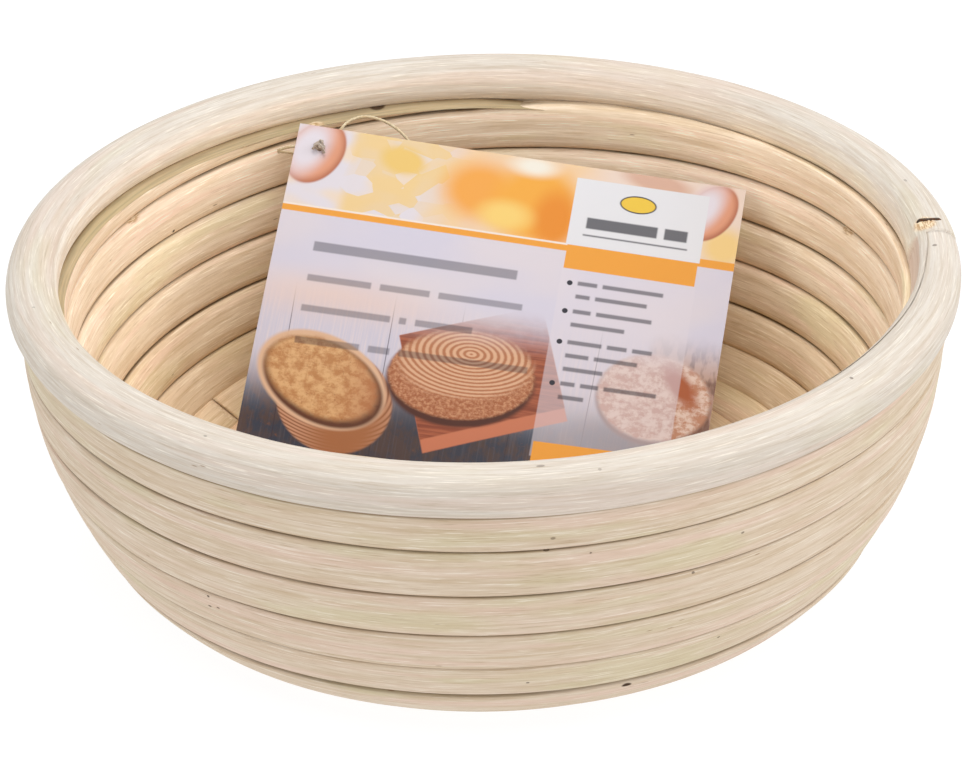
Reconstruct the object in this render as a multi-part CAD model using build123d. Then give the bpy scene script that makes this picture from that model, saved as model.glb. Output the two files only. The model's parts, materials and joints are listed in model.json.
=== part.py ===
from build123d import *
import math
import os

# A round proofing basket wound from rattan cane, with its paper swing tag.
# Millimetres. +Z is up, the basket's axis is Z, its front is -Y, and the base rests on Z = 0.

# The rim: one thicker cane bent into a ring, its two ends meeting at the right.
RIM_OUTER_RADIUS = 125.0
RIM_HALF_WIDTH = 6.75
RIM_HALF_HEIGHT = 6.4
RIM_CENTRE_Z = 82.0
RIM_CENTRE_RADIUS = RIM_OUTER_RADIUS - RIM_HALF_WIDTH
RIM_SEAM_GAP = 0.15
RIM_BUTT_ANGLE = 90.0
RIM_TAIL_END_ANGLE = 47.0
RIM_TAIL_RADIUS = 114.6

# The coil: round cane laid turn on turn, out over the base and up the wall.
CANE_RADIUS = 6.12
TURN_SPACING = 12.5
HALF_STEP = TURN_SPACING / 2
BASE_SANDED = 0.4
BASE_CENTRE_Z = CANE_RADIUS - BASE_SANDED
BASE_FLAT_RADIUS = 79.3
HEEL_BEND_RADIUS = 24.0
HEEL_SLOPE = math.radians(58)
SIDE_BEND_RADIUS = 106.0
SIDE_SLOPE = math.radians(87)
RIM_CLEARANCE = 0.1
WALL_TOP_Z = RIM_CENTRE_Z - RIM_HALF_HEIGHT - RIM_CLEARANCE
COIL_HALF_TURNS = 26
TIP_SWEEP = 75.0
START_NOSE_RADIUS = 6.05

# Where one length of cane ends and the next begins, counted in half turns from the middle.
CANE_LENGTHS = {
    "base_cane": (0, 14),
    "lower_wall_cane": (14, 18),
    "middle_wall_cane": (18, 22),
    "upper_wall_cane": (22, 26),
}
SPLICE_JOINTS = (14, 18, 22)
SCARF_OVERLAP_ANGLE = 14.0
SCARF_SLOPE = math.radians(70)
SCARF_GAP = 0.1
CUT_BLOCK = 60.0

# Wire pins, one size through the turns, a longer one down through the rim.
PIN_RADIUS = 0.6
PIN_RISE = 2.5
PIN_STAGGER = 22.0
BASE_PIN_ANGLES = (40.0, 118.0)
WALL_PIN_ANGLES = (22.0, 57.0, 92.0, 127.0)
PIN_GROUPS = {
    "base_pins": (2, 14, BASE_PIN_ANGLES),
    "lower_wall_pins": (14, 18, WALL_PIN_ANGLES),
    "middle_wall_pins": (18, 22, WALL_PIN_ANGLES),
    "upper_wall_pins": (22, 25, WALL_PIN_ANGLES),
}
SPLICE_PIN_OFFSET = 5.0
SPLICE_PIN_LENGTH = 11.5
SPLICE_PIN_START = 5.9
RIM_PIN_ANGLES = (12.0, 49.0, 86.5, 105.5, 145.0, 185.0, 222.0, 254.0, 286.0, 330.0)
RIM_PIN_RADIUS_AT = 117.2
RIM_PIN_TOP_Z = 88.0
RIM_PIN_LENGTH = 22.0

# The wire staple beside the rim's butt joint.
STAPLE_ANGLE = 94.0
STAPLE_WIRE_RADIUS = 0.45
STAPLE_WIDTH = 6.0
STAPLE_LEG = 7.0
STAPLE_BEND_RADIUS = 0.9
STAPLE_TOP_Z = RIM_CENTRE_Z + RIM_HALF_HEIGHT - 0.35

# The tag: a printed card that leans back in the bowl, tied to the wall by a loop of thread.
CARD_TOP_LEFT = (-51.0, 94.0, 79.7)
CARD_TOP_RIGHT = (74.6, 76.6, 64.4)
CARD_LOW_RIGHT = (58.4, -5.0, 13.1)
CARD_THICKNESS = 0.6
CARD_HEIGHT = 99.2
CARD_CORNER_RADIUS = 0.8
HOLE_FROM_LEFT = 6.9
HOLE_FROM_TOP = 6.8
HOLE_RADIUS = 1.3

THREAD_RADIUS = 0.4
KNOT_NECK_BEHIND_CARD = 2.2
KNOT_RADIUS = 1.6
KNOT_NECK_RADIUS = 0.8
KNOT_GAP = 0.05
# From the seam in the wall, behind the card to its hole, up over its top edge, down behind it and back.
THREAD_ROUTE = (
    (-57.5, 92.1, 74.0),
    (-52.0, 89.4, 75.0),
    (-45.4, 88.2, 74.2),
    (-41.2, 93.2, 75.0),
    (-38.4, 97.2, 78.4),
    (-32.4, 98.6, 80.0),
    (-24.6, 98.8, 76.6),
    (-18.4, 98.2, 69.2),
    (-18.0, 97.4, 60.2),
    (-26.0, 97.8, 54.4),
    (-37.2, 97.0, 56.4),
    (-46.0, 94.8, 63.2),
    (-53.4, 92.4, 69.0),
    (-58.2, 91.0, 72.0),
)
ARC_SHARE = 0.45


def profile_point(length):
    """Radius and height of the cane's centre line, at a length out along the basket's section."""
    if length <= BASE_FLAT_RADIUS:
        return length, BASE_CENTRE_Z
    slope = (length - BASE_FLAT_RADIUS) / HEEL_BEND_RADIUS
    if slope <= HEEL_SLOPE:
        radius = BASE_FLAT_RADIUS + HEEL_BEND_RADIUS * math.sin(slope)
        return radius, BASE_CENTRE_Z + HEEL_BEND_RADIUS * (1 - math.cos(slope))
    heel_radius = BASE_FLAT_RADIUS + HEEL_BEND_RADIUS * math.sin(HEEL_SLOPE)
    heel_z = BASE_CENTRE_Z + HEEL_BEND_RADIUS * (1 - math.cos(HEEL_SLOPE))
    heel_end = BASE_FLAT_RADIUS + HEEL_BEND_RADIUS * HEEL_SLOPE
    slope = min(HEEL_SLOPE + (length - heel_end) / SIDE_BEND_RADIUS, SIDE_SLOPE)
    radius = heel_radius + SIDE_BEND_RADIUS * (math.sin(slope) - math.sin(HEEL_SLOPE))
    height = heel_z + SIDE_BEND_RADIUS * (math.cos(HEEL_SLOPE) - math.cos(slope))
    beyond = length - heel_end - SIDE_BEND_RADIUS * (slope - HEEL_SLOPE)
    return radius + beyond * math.cos(slope), height + beyond * math.sin(slope)


def length_where_wall_is_full():
    """Length along the section at which a whole cane just fits under the rim."""
    side_end = BASE_FLAT_RADIUS + HEEL_BEND_RADIUS * HEEL_SLOPE + SIDE_BEND_RADIUS * (SIDE_SLOPE - HEEL_SLOPE)
    return side_end + (WALL_TOP_Z - CANE_RADIUS - profile_point(side_end)[1]) / math.sin(SIDE_SLOPE)


COIL_END = length_where_wall_is_full() + TURN_SPACING - HALF_STEP / 2
COIL_START = COIL_END - COIL_HALF_TURNS * HALF_STEP


def joint_side(joint):
    """Half turns meet in the XZ plane: even ones at the left, odd ones at the right."""
    return -1 if joint % 2 == 0 else 1


def joint_point(joint):
    radius, height = profile_point(COIL_START + joint * HALF_STEP)
    return Vector(joint_side(joint) * radius, 0, height)


def half_turn_frame(joint):
    """Middle of the half turn that starts at a joint, and its axis, pointing up."""
    start, end = joint_point(joint), joint_point(joint + 1)
    along = (end - start).normalized()
    sign = 1 if along.X > 0 else -1
    return (start + end) * 0.5, Vector(-along.Z * sign, 0, along.X * sign)


def centre_line_point(joint, angle):
    """A point of the cane's centre line, at an angle in degrees past a joint, clockwise from above."""
    middle, up = half_turn_frame(joint)
    arm = joint_point(joint) - middle
    return middle + arm.rotate(Axis((0, 0, 0), up), -angle)


def cane_arc(joint, angle, middle, axis_direction):
    """The cane swept from a joint, about an axis through a half turn's middle."""
    at = joint_point(joint)
    section = Plane(origin=at, x_dir=(1, 0, 0), z_dir=(0, 1, 0)) * Circle(CANE_RADIUS)
    return revolve(section, axis=Axis(middle, axis_direction), revolution_arc=angle)


def forward_arc(joint, angle=180.0):
    middle, up = half_turn_frame(joint)
    return cane_arc(joint, angle, middle, up * -1)


def backward_arc(joint, angle):
    middle, up = half_turn_frame(joint - 1)
    return cane_arc(joint, angle, middle, up)


def scarf_block(joint, beyond):
    """The space past a splice's sloping cut (beyond = 1) or before it (beyond = -1)."""
    side = joint_side(joint)
    travel = Vector(0, -side, 0)
    outward = Vector(side, 0, 0)
    normal = (travel * math.cos(SCARF_SLOPE) + outward * math.sin(SCARF_SLOPE)) * beyond
    cut = Plane(origin=joint_point(joint) - normal * (SCARF_GAP / 2), z_dir=normal)
    return cut * Box(CUT_BLOCK, CUT_BLOCK, CUT_BLOCK, align=(Align.CENTER, Align.CENTER, Align.MIN))


def level_block(side):
    """A block wider than the basket, standing on Z = 0 (Align.MIN) or hanging under it (Align.MAX)."""
    return Box(3 * RIM_OUTER_RADIUS, 3 * RIM_OUTER_RADIUS, CUT_BLOCK, align=(Align.CENTER, Align.CENTER, side))


def make_coil_cane(first, last):
    """One length of cane: spliced ends slope, the top turn is pared to fit the rim, the base is sanded flat."""
    arcs = {joint: forward_arc(joint) for joint in range(first, last)}
    if last in SPLICE_JOINTS:
        after = scarf_block(last, 1)
        arcs[last - 1] = arcs[last - 1] - after
        arcs[last] = forward_arc(last, SCARF_OVERLAP_ANGLE) - after
    if first in SPLICE_JOINTS:
        before = scarf_block(first, -1)
        arcs[first] = arcs[first] - before
        arcs[first - 1] = backward_arc(first, SCARF_OVERLAP_ANGLE) - before
    if last == COIL_HALF_TURNS:
        arcs[last] = forward_arc(last, TIP_SWEEP)
        above = Pos(0, 0, WALL_TOP_Z) * level_block(Align.MIN)
        for joint in (last - 2, last - 1, last):
            arcs[joint] = arcs[joint] - above
    cane = arcs[min(arcs)]
    for joint in sorted(arcs)[1:]:
        cane = cane + arcs[joint]
    if first == 0:
        cane = cane + Pos(joint_point(0)) * Sphere(START_NOSE_RADIUS)
        cane = cane - level_block(Align.MAX)
    return cane


def round_bar(start, end, radius):
    run = end - start
    return Plane(origin=start, z_dir=run) * Cylinder(
        radius, run.length, align=(Align.CENTER, Align.CENTER, Align.MIN)
    )


def make_turn_pins(first, last, angles):
    """Pins from each half turn down into the turn before it."""
    pins = []
    for joint in range(first, last):
        stagger = PIN_STAGGER * (joint // 2 % 2)
        for angle in angles:
            low = centre_line_point(joint - 2, angle + stagger)
            high = centre_line_point(joint, angle + stagger)
            pins.append(round_bar(low, high + (high - low).normalized() * PIN_RISE, PIN_RADIUS))
    return pins


def make_splice_pins():
    """Two pins across each sloping splice."""
    pins = []
    for joint in SPLICE_JOINTS:
        side = joint_side(joint)
        for offset in (-SPLICE_PIN_OFFSET, SPLICE_PIN_OFFSET):
            outer = joint_point(joint) + Vector(side * SPLICE_PIN_START, offset, 0)
            pins.append(round_bar(outer, outer - Vector(side * SPLICE_PIN_LENGTH, 0, 0), PIN_RADIUS))
    return pins


def around(radius, angle, height):
    """A point at an angle in degrees from the front, turning towards the right."""
    turn = math.radians(angle)
    return Vector(radius * math.sin(turn), -radius * math.cos(turn), height)


def rim_arc(section, first, last):
    """A section, drawn at the right, revolved about the basket's axis from one angle to another."""
    return Rot(0, 0, first - 90) * revolve(Plane.XZ * section, axis=Axis.Z, revolution_arc=last - first)


def make_rim_cane():
    """The rim ring: its ends butt together outside, and one runs on inside the other as a thin tail."""
    whole = Pos(RIM_CENTRE_RADIUS, RIM_CENTRE_Z) * Ellipse(RIM_HALF_WIDTH, RIM_HALF_HEIGHT)
    beyond_tail = Pos(RIM_TAIL_RADIUS, RIM_CENTRE_Z) * Rectangle(
        CUT_BLOCK, CUT_BLOCK, align=(Align.MIN, Align.CENTER)
    )
    within_tail = Pos(RIM_TAIL_RADIUS - RIM_SEAM_GAP, RIM_CENTRE_Z) * Rectangle(
        CUT_BLOCK, CUT_BLOCK, align=(Align.MAX, Align.CENTER)
    )
    gap_angle = math.degrees(RIM_SEAM_GAP / RIM_CENTRE_RADIUS)
    ring = rim_arc(whole, RIM_BUTT_ANGLE, RIM_TAIL_END_ANGLE + 360)
    outer_end = rim_arc(whole & beyond_tail, RIM_TAIL_END_ANGLE, RIM_BUTT_ANGLE - gap_angle)
    tail = rim_arc(whole & within_tail, RIM_TAIL_END_ANGLE + gap_angle, RIM_BUTT_ANGLE)
    return ring + outer_end + tail


def make_rim_pins():
    """Pins driven down through the rim into the turn under it."""
    pins = []
    for angle in RIM_PIN_ANGLES:
        top = around(RIM_PIN_RADIUS_AT, angle, RIM_PIN_TOP_Z)
        pins.append(round_bar(top, top - Vector(0, 0, RIM_PIN_LENGTH), PIN_RADIUS))
    return pins


def make_rim_staple():
    """A wire staple whose crown lies across the rim beside the butt joint."""
    inner = around(RIM_CENTRE_RADIUS - STAPLE_WIDTH / 2, STAPLE_ANGLE, STAPLE_TOP_Z)
    outer = around(RIM_CENTRE_RADIUS + STAPLE_WIDTH / 2, STAPLE_ANGLE, STAPLE_TOP_Z)
    leg = Vector(0, 0, STAPLE_LEG)
    path = FilletPolyline(inner - leg, inner, outer, outer - leg, radius=STAPLE_BEND_RADIUS)
    start = Plane(origin=inner - leg, z_dir=(0, 0, 1)) * Circle(STAPLE_WIRE_RADIUS)
    return sweep(start, path=path)


def card_directions():
    """Unit vectors along the card's top edge and down its face, and its front normal."""
    corner, right, low = Vector(*CARD_TOP_LEFT), Vector(*CARD_TOP_RIGHT), Vector(*CARD_LOW_RIGHT)
    along = (right - corner).normalized()
    down = low - right
    down = (down - along * down.dot(along)).normalized()
    return along, down, down.cross(along)


def hole_centre():
    along, down, _ = card_directions()
    return Vector(*CARD_TOP_LEFT) + along * HOLE_FROM_LEFT + down * HOLE_FROM_TOP


def make_tag_card():
    """The card, with a punched hole near its top left corner."""
    along, down, front = card_directions()
    corner = Vector(*CARD_TOP_LEFT)
    width = (Vector(*CARD_TOP_RIGHT) - corner).length
    middle = corner + along * (width / 2) + down * (CARD_HEIGHT / 2)
    face = Plane(origin=middle, x_dir=along, z_dir=front) * RectangleRounded(width, CARD_HEIGHT, CARD_CORNER_RADIUS)
    hole = Plane(origin=hole_centre(), x_dir=along, z_dir=front) * Circle(HOLE_RADIUS)
    return extrude(face, CARD_THICKNESS / 2, dir=front, both=True) - extrude(
        hole, CARD_THICKNESS, dir=front, both=True
    )


def make_tag_knot():
    """The knot in front of the card's hole, with the doubled thread that fills the hole behind it."""
    _, _, front = card_directions()
    hole = hole_centre()
    ball_centre = hole + front * (CARD_THICKNESS / 2 + KNOT_GAP + KNOT_RADIUS)
    neck = round_bar(hole - front * KNOT_NECK_BEHIND_CARD, ball_centre, KNOT_NECK_RADIUS)
    return neck + Pos(ball_centre) * Sphere(KNOT_RADIUS)


def make_tag_cord():
    """The thread: straight runs joined by arcs as large as the runs allow."""
    points = [Vector(*point) for point in THREAD_ROUTE]
    radii = []
    for before, at, after in zip(points, points[1:], points[2:]):
        arriving, leaving = at - before, after - at
        shorter = min(arriving.length, leaving.length)
        half_turn = math.radians(arriving.get_angle(leaving)) / 2
        radii.append(ARC_SHARE * shorter / math.tan(half_turn))
    path = FilletPolyline(*points, radius=radii)
    print("thread length", round(path.length, 1), "arc radii", [round(radius, 1) for radius in radii])
    start = Plane(origin=points[0], z_dir=points[1] - points[0]) * Circle(THREAD_RADIUS)
    thread = sweep(start, path=path)
    print("thread volume ratio", round(thread.volume / (path.length * math.pi * THREAD_RADIUS**2), 4))
    return thread


def main():
    os.makedirs("parts", exist_ok=True)
    nodes = {name: make_coil_cane(*span) for name, span in CANE_LENGTHS.items()}
    for name, (first, last, angles) in PIN_GROUPS.items():
        nodes[name] = Compound(children=make_turn_pins(first, last, angles))
    nodes["splice_pins"] = Compound(children=make_splice_pins())
    nodes["rim_cane"] = make_rim_cane()
    nodes["rim_pins"] = Compound(children=make_rim_pins())
    nodes["rim_joint_staple"] = make_rim_staple()
    nodes["tag_card"] = make_tag_card()
    nodes["tag_knot"] = make_tag_knot()
    nodes["tag_cord"] = make_tag_cord()
    for name, shape in nodes.items():
        export_step(shape, f"parts/{name}.step")


main()
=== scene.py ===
import json
import math

import bpy
import numpy as np
from mathutils import Matrix, Vector


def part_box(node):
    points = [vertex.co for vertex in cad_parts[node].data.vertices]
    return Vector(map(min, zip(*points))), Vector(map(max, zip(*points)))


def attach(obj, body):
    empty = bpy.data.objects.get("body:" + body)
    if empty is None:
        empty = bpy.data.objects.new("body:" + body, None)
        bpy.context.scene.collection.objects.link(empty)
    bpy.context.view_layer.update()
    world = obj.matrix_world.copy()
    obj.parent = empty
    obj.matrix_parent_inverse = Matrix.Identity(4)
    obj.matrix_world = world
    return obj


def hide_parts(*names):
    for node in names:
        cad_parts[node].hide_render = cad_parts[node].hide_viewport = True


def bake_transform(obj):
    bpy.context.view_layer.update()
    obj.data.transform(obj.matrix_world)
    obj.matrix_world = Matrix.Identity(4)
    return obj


# A round proofing basket of coiled rattan cane, with its swing tag. Metres, +Z up, the front is -Y.
# Angles round the basket are measured from the front towards the right, as seen from above.
# Angles round a cane's section start outwards, and a quarter turn on is upwards (on the base, outwards).

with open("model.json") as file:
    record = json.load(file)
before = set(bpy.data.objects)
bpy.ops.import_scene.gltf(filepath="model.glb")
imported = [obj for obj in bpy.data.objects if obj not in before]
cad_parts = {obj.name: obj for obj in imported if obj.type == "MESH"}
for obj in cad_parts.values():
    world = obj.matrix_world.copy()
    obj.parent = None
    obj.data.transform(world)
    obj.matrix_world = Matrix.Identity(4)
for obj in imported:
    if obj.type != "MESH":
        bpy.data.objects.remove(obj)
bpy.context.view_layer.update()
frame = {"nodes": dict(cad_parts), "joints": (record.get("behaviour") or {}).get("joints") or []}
TURN = 2 * math.pi

# ---------------------------------------------------------------- sizes taken from the frame

RIM_LOW, RIM_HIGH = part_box("rim_cane")
RIM_HALF_HEIGHT = (RIM_HIGH.z - RIM_LOW.z) / 2
RIM_HALF_WIDTH = 0.00675
RIM_RADIUS = RIM_HIGH.x - RIM_HALF_WIDTH
RIM_Z = (RIM_HIGH.z + RIM_LOW.z) / 2

# The coil's section: a flat base, a heel bend, and a gently curved side.
BASE_FLAT = 0.0793
HEEL_BEND = 0.024
HEEL_SLOPE = math.radians(58)
SIDE_BEND = 0.106
SIDE_SLOPE = math.radians(87)
BASE_Z = 0.00572
PITCH = 0.0125
COIL_START = 0.00588
LAST_TURN = 13.277

# The coil climbs unevenly: nearly level at the front right, steeply at the back.
CLIMB_START = 140 / 360
CLIMB_SWING = 1.5
CLIMB_PEAK = 0.8
CLIMB_FADE_TURNS = 4
TOP_STRETCH = 0.0011
TOP_STRETCH_TURNS = (10.8, 12.2)

# ---------------------------------------------------------------- camera

CAMERA_AT = Vector((-0.001192, -0.937528, 0.559707))
CAMERA_DOWN = math.radians(28.736)
CAMERA_ROLL = -0.0199
CAMERA_LENS = 149.7


def make_camera():
    data = bpy.data.cameras.new("camera")
    data.lens = CAMERA_LENS
    data.sensor_width = 36
    camera = bpy.data.objects.new("camera", data)
    bpy.context.scene.collection.objects.link(camera)
    look = Matrix.Rotation(math.pi / 2 - CAMERA_DOWN, 4, "X") @ Matrix.Rotation(CAMERA_ROLL, 4, "Z")
    camera.matrix_world = Matrix.Translation(CAMERA_AT) @ look
    bpy.context.scene.camera = camera


# ---------------------------------------------------------------- mesh helpers

def link(name, mesh):
    piece = bpy.data.objects.new(name, mesh)
    bpy.context.scene.collection.objects.link(piece)
    return piece


def mesh_piece(name, points, faces, smooth=True):
    mesh = bpy.data.meshes.new(name)
    mesh.from_pydata([tuple(p) for p in points], [], faces)
    mesh.update()
    if smooth:
        mesh.polygons.foreach_set("use_smooth", [True] * len(mesh.polygons))
    return link(name, mesh)


def add_attribute(piece, name, values):
    values = np.asarray(values, np.float32)
    kind, key = ("FLOAT_VECTOR", "vector") if values.ndim == 2 else ("FLOAT", "value")
    attribute = piece.data.attributes.new(name, kind, "POINT")
    attribute.data.foreach_set(key, values.ravel())


def smooth_step(low, high, value):
    share = np.clip((value - low) / (high - low), 0, 1)
    return share * share * (3 - 2 * share)


def unevenness(feature, seed, along, around=0.0):
    """Smooth noise over a cane. A feature is its knots' spacing along, their number round, and its size."""
    step, count, size = feature
    knots = int(np.max(along) / step) + 3
    grid = np.random.RandomState(seed).uniform(-1, 1, (knots, count))
    row, column = along / step, (around % TURN) / TURN * count
    row_low, column_low = np.floor(row).astype(int), np.floor(column).astype(int)
    row_share, column_share = smooth_step(0, 1, row - row_low), smooth_step(0, 1, column - column_low)
    here, there = column_low % count, (column_low + 1) % count
    low = grid[row_low, here] * (1 - column_share) + grid[row_low, there] * column_share
    high = grid[row_low + 1, here] * (1 - column_share) + grid[row_low + 1, there] * column_share
    return (low * (1 - row_share) + high * row_share) * size


def lengths_along(path):
    """Length from the start of a path of points to each of them."""
    return np.concatenate([[0], np.cumsum(np.linalg.norm(np.diff(path, axis=0), axis=1))])


def tube_piece(name, rings, attributes, cap_rings=(0.75, 0.5, 0.25), cap_rough=0.0002, seed=0):
    """A closed tube through rings of points (ring, point, xyz), capped with a rough end at each end."""
    count, around, _ = rings.shape
    points = [rings.reshape(-1, 3)]
    values = {key: [value.reshape(count * around, -1)] for key, value in attributes.items()}
    faces = []
    column = np.arange(around)
    after = (column + 1) % around
    for row in range(count - 1):
        here, there = row * around, (row + 1) * around
        faces.append(np.stack([here + column, here + after, there + after, there + column], 1))
    faces = np.concatenate(faces).tolist()
    total = count * around
    rough = np.random.RandomState(seed)
    for end, inward in ((0, 1), (count - 1, -1)):
        ring = rings[end]
        middle = ring.mean(0)
        axis = rings[end + inward].mean(0) - middle
        axis = axis / max(np.linalg.norm(axis), 1e-9)
        edge = end * around + column
        for share in cap_rings:
            start = total
            jitter = rough.uniform(-1, 1, (around, 1)) * cap_rough
            points.append(middle + (ring - middle) * share + axis * jitter)
            for key, value in attributes.items():
                rows = value[end].reshape(around, -1)
                values[key].append(rows.mean(0) + (rows - rows.mean(0)) * share)
            new = start + column
            quads = np.stack([edge, new, np.roll(new, -1), np.roll(edge, -1)], 1)
            faces += (quads if inward == 1 else quads[:, ::-1]).tolist()
            edge = new
            total += around
        points.append(middle[None])
        for key, value in attributes.items():
            values[key].append(value[end].reshape(around, -1).mean(0)[None])
        fan = [[int(edge[i]), total, int(edge[(i + 1) % around])] for i in range(around)]
        faces += fan if inward == 1 else [face[::-1] for face in fan]
        total += 1
    piece = mesh_piece(name, np.concatenate(points), faces)
    for key, rows in values.items():
        rows = np.concatenate(rows)
        add_attribute(piece, key, rows[:, 0] if rows.shape[1] == 1 else rows)
    return piece


# ---------------------------------------------------------------- the coil

def profile(length):
    """Radius, height and slope of the coil's centre line, at lengths out along the basket's section."""
    heel = np.clip((length - BASE_FLAT) / HEEL_BEND, 0, HEEL_SLOPE)
    heel_end = BASE_FLAT + HEEL_BEND * HEEL_SLOPE
    side = HEEL_SLOPE + np.clip((length - heel_end) / SIDE_BEND, 0, SIDE_SLOPE - HEEL_SLOPE)
    beyond = np.maximum(0, length - heel_end - SIDE_BEND * (SIDE_SLOPE - HEEL_SLOPE))
    radius = np.minimum(length, BASE_FLAT) + HEEL_BEND * np.sin(heel)
    radius = radius + SIDE_BEND * (np.sin(side) - math.sin(HEEL_SLOPE)) + beyond * math.cos(SIDE_SLOPE)
    height = BASE_Z + HEEL_BEND * (1 - np.cos(heel))
    height = height + SIDE_BEND * (math.cos(HEEL_SLOPE) - np.cos(side)) + beyond * math.sin(SIDE_SLOPE)
    return radius, height, heel + side - HEEL_SLOPE


def coil_length(turn):
    """Length out along the section after that many turns from the middle."""
    share = (turn - CLIMB_START) % 1
    uneven = np.sin(TURN * (share - CLIMB_PEAK)) + math.sin(TURN * CLIMB_PEAK)
    uneven = uneven * CLIMB_SWING / TURN * smooth_step(0, CLIMB_FADE_TURNS, turn)
    return COIL_START + PITCH * (turn + uneven) + TOP_STRETCH * smooth_step(*TOP_STRETCH_TURNS, turn)


def coil_angle(turn):
    """Angle round the basket after that many turns: the coil starts at the left and climbs clockwise."""
    return TURN * (0.75 - turn)


def radial(angle):
    return np.stack([np.sin(angle), -np.cos(angle), np.zeros_like(angle)], -1)


def coil_frame(turn, wobble=0.0):
    """The coil's middle at counts of turns, its directions out of the skin and up the wall, its radius."""
    radius, height, slope = profile(coil_length(turn))
    outward, upward = radial(coil_angle(turn)), np.array((0.0, 0.0, 1.0))
    middle = outward * (radius + wobble)[..., None] + upward * height[..., None]
    skin = outward * np.sin(slope)[..., None] - upward * np.cos(slope)[..., None]
    rise = outward * np.cos(slope)[..., None] + upward * np.sin(slope)[..., None]
    return middle, skin, rise, radius


# The cane's section, from its middle out, in and to each side, and how square its corners are.
OUT_HALF = 0.00585
IN_HALF = 0.00605
SIDE_HALF = 0.00634
OUT_POWER = 12.0
IN_POWER = 3.7
CANE_SECTION = (OUT_HALF, IN_HALF, SIDE_HALF, OUT_POWER, IN_POWER)
SIDE_OVERLAP = 0.00009
CROWN = 0.035
CORNER_GATHER = 0.55
# The top turn is swollen over its first part, where it fills the room up to the rim.
TOP_SWELL = 0.0017
TOP_SWELL_TURNS = (LAST_TURN - 1.03, LAST_TURN - 1, 12.38, 12.50)

# Unevenness of the cane: spacing of its knots along, their number round, and its size.
WOBBLE = (0.055, 1, 0.00025)
SWELL = (0.08, 1, 0.018)
FLATNESS = (0.035, 1, 0.018)
SQUARENESS = (0.06, 1, 0.3)
COIL_RIDGES = (0.045, 22, 0.00010)
COIL_FIBRE_STEP = 0.02
COIL_FIBRE_SIZE = 0.00005
PARED_RIPPLE = (0.03, 14, 0.00012)
# The share of its ridges and fibres that the sanded outside keeps.
SANDED_SHARE = 0.35
# How far in from the skin a groove's darkening, dirt and painted shade, begins and is full, outside and
# inside, and how far to the side.
GROOVE_OUT_DEPTHS = (0.0005, 0.0013)
GROOVE_IN_DEPTHS = (0.0009, 0.0022)
GROOVE_SIDES = (0.75, 0.95)

START_NARROW = 0.82
START_LENGTH = 0.012
SPLICE_HALF_LENGTH = 0.013
SPLICE_GAP = 0.00012
SPLICE_ROUGH = 0.2
# The coil's rough radius at its splices, and the points that its length is measured with.
LAP_RADIUS = 0.1
COARSE_STEPS = 4000

# The top turn meets the rim this far in from the rim's middle, and enters it a little.
RIM_CONTACT_IN = 0.00505
RIM_OVERLAP = 0.0001
# Inwards of there it is pared away, this steeply at these counts of turns.
PARED_TURNS = (12.28, 12.38, 12.70, 12.95)
PARED_SLOPES = (-0.9, -0.1, 0.0, 0.6)
LEAST_THICKNESS = 0.0003
TIP_LENGTH = 0.02
TIP_THIN = 0.12

# Each cane's grain is shifted along by its seed times this.
GRAIN_SHIFT = 0.37
TORN_DEPTH = 0.0004

# Where fibres are torn: count of turns, angle round the section, length and width there.
TORN_PLACES = (
    (11.431, math.radians(128), 0.0028, 0.22),
    (12.083, math.radians(122), 0.0035, 0.30),
    (13.180, math.radians(150), 0.0030, 0.35),
)
# Small marks on the coil: count of turns, degrees round the section, half length and width, darkness.
COIL_MARKS = (
    (11.732, 54, 0.0007, 0.0004, 0.7),
    (11.718, 40, 0.0004, 0.0003, 0.7),
    (12.730, -27, 0.0006, 0.0004, 0.5),
    (8.737, -2, 0.0004, 0.0003, 0.7),
    (9.853, 44, 0.0004, 0.00035, 0.8),
    (9.854, 15, 0.0005, 0.0003, 0.8),
    (9.850, 21, 0.0005, 0.00025, 0.8),
    (8.664, 30, 0.0004, 0.0003, 0.7),
    (10.682, 48, 0.0004, 0.0003, 0.6),
    (11.665, 6, 0.0004, 0.0003, 0.6),
    (7.698, 44.5, 0.0012, 0.0007, 1.0),
    (12.105, -137, 0.0005, 0.0005, 0.9),
    (13.208, 121, 0.0022, 0.0011, 0.9),
    (13.272, 112, 0.0020, 0.0005, 0.6),
)
# Nail holes and marks on the rim: degrees round the basket and the section, half length and width, darkness.
RIM_MARKS = (
    (105.6, 89, 0.0008, 0.0004, 0.35),
    (86.5, 92, 0.0006, 0.0006, 0.55),
    (48.8, 84, 0.0004, 0.0005, 0.55),
    (-74.3, 79, 0.0004, 0.0004, 0.30),
    (-34.0, 65, 0.0005, 0.0003, 0.35),
    (6.0, 83, 0.0010, 0.0004, 0.45),
    (12.5, 56, 0.0004, 0.0004, 0.30),
)


def under_rim(radius, turn):
    """The highest that the top turn may reach, at a distance from the axis: it is pared to fit the rim."""
    share = np.clip((radius - RIM_RADIUS) / RIM_HALF_WIDTH, -1, 1)
    below = RIM_Z - RIM_HALF_HEIGHT * np.sqrt(1 - share**2)
    groove = RIM_RADIUS - RIM_CONTACT_IN
    groove_z = RIM_Z - RIM_HALF_HEIGHT * math.sqrt(1 - (RIM_CONTACT_IN / RIM_HALF_WIDTH) ** 2)
    slope = np.interp(turn, PARED_TURNS, PARED_SLOPES)
    pared = groove_z - slope * (groove - radius)
    return np.where(radius < groove, pared, below) + RIM_OVERLAP


def section_radius(around, out_half, in_half, side_half, out_power, in_power):
    """Distance from a section's middle to its skin: flatter outside than inside."""
    across, upward = np.cos(around), np.sin(around)
    half = np.where(across > 0, out_half, in_half)
    power = np.where(across > 0, out_power, in_power)
    return ((np.abs(across) / half) ** power + (np.abs(upward) / side_half) ** power) ** (-1 / power)


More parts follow.
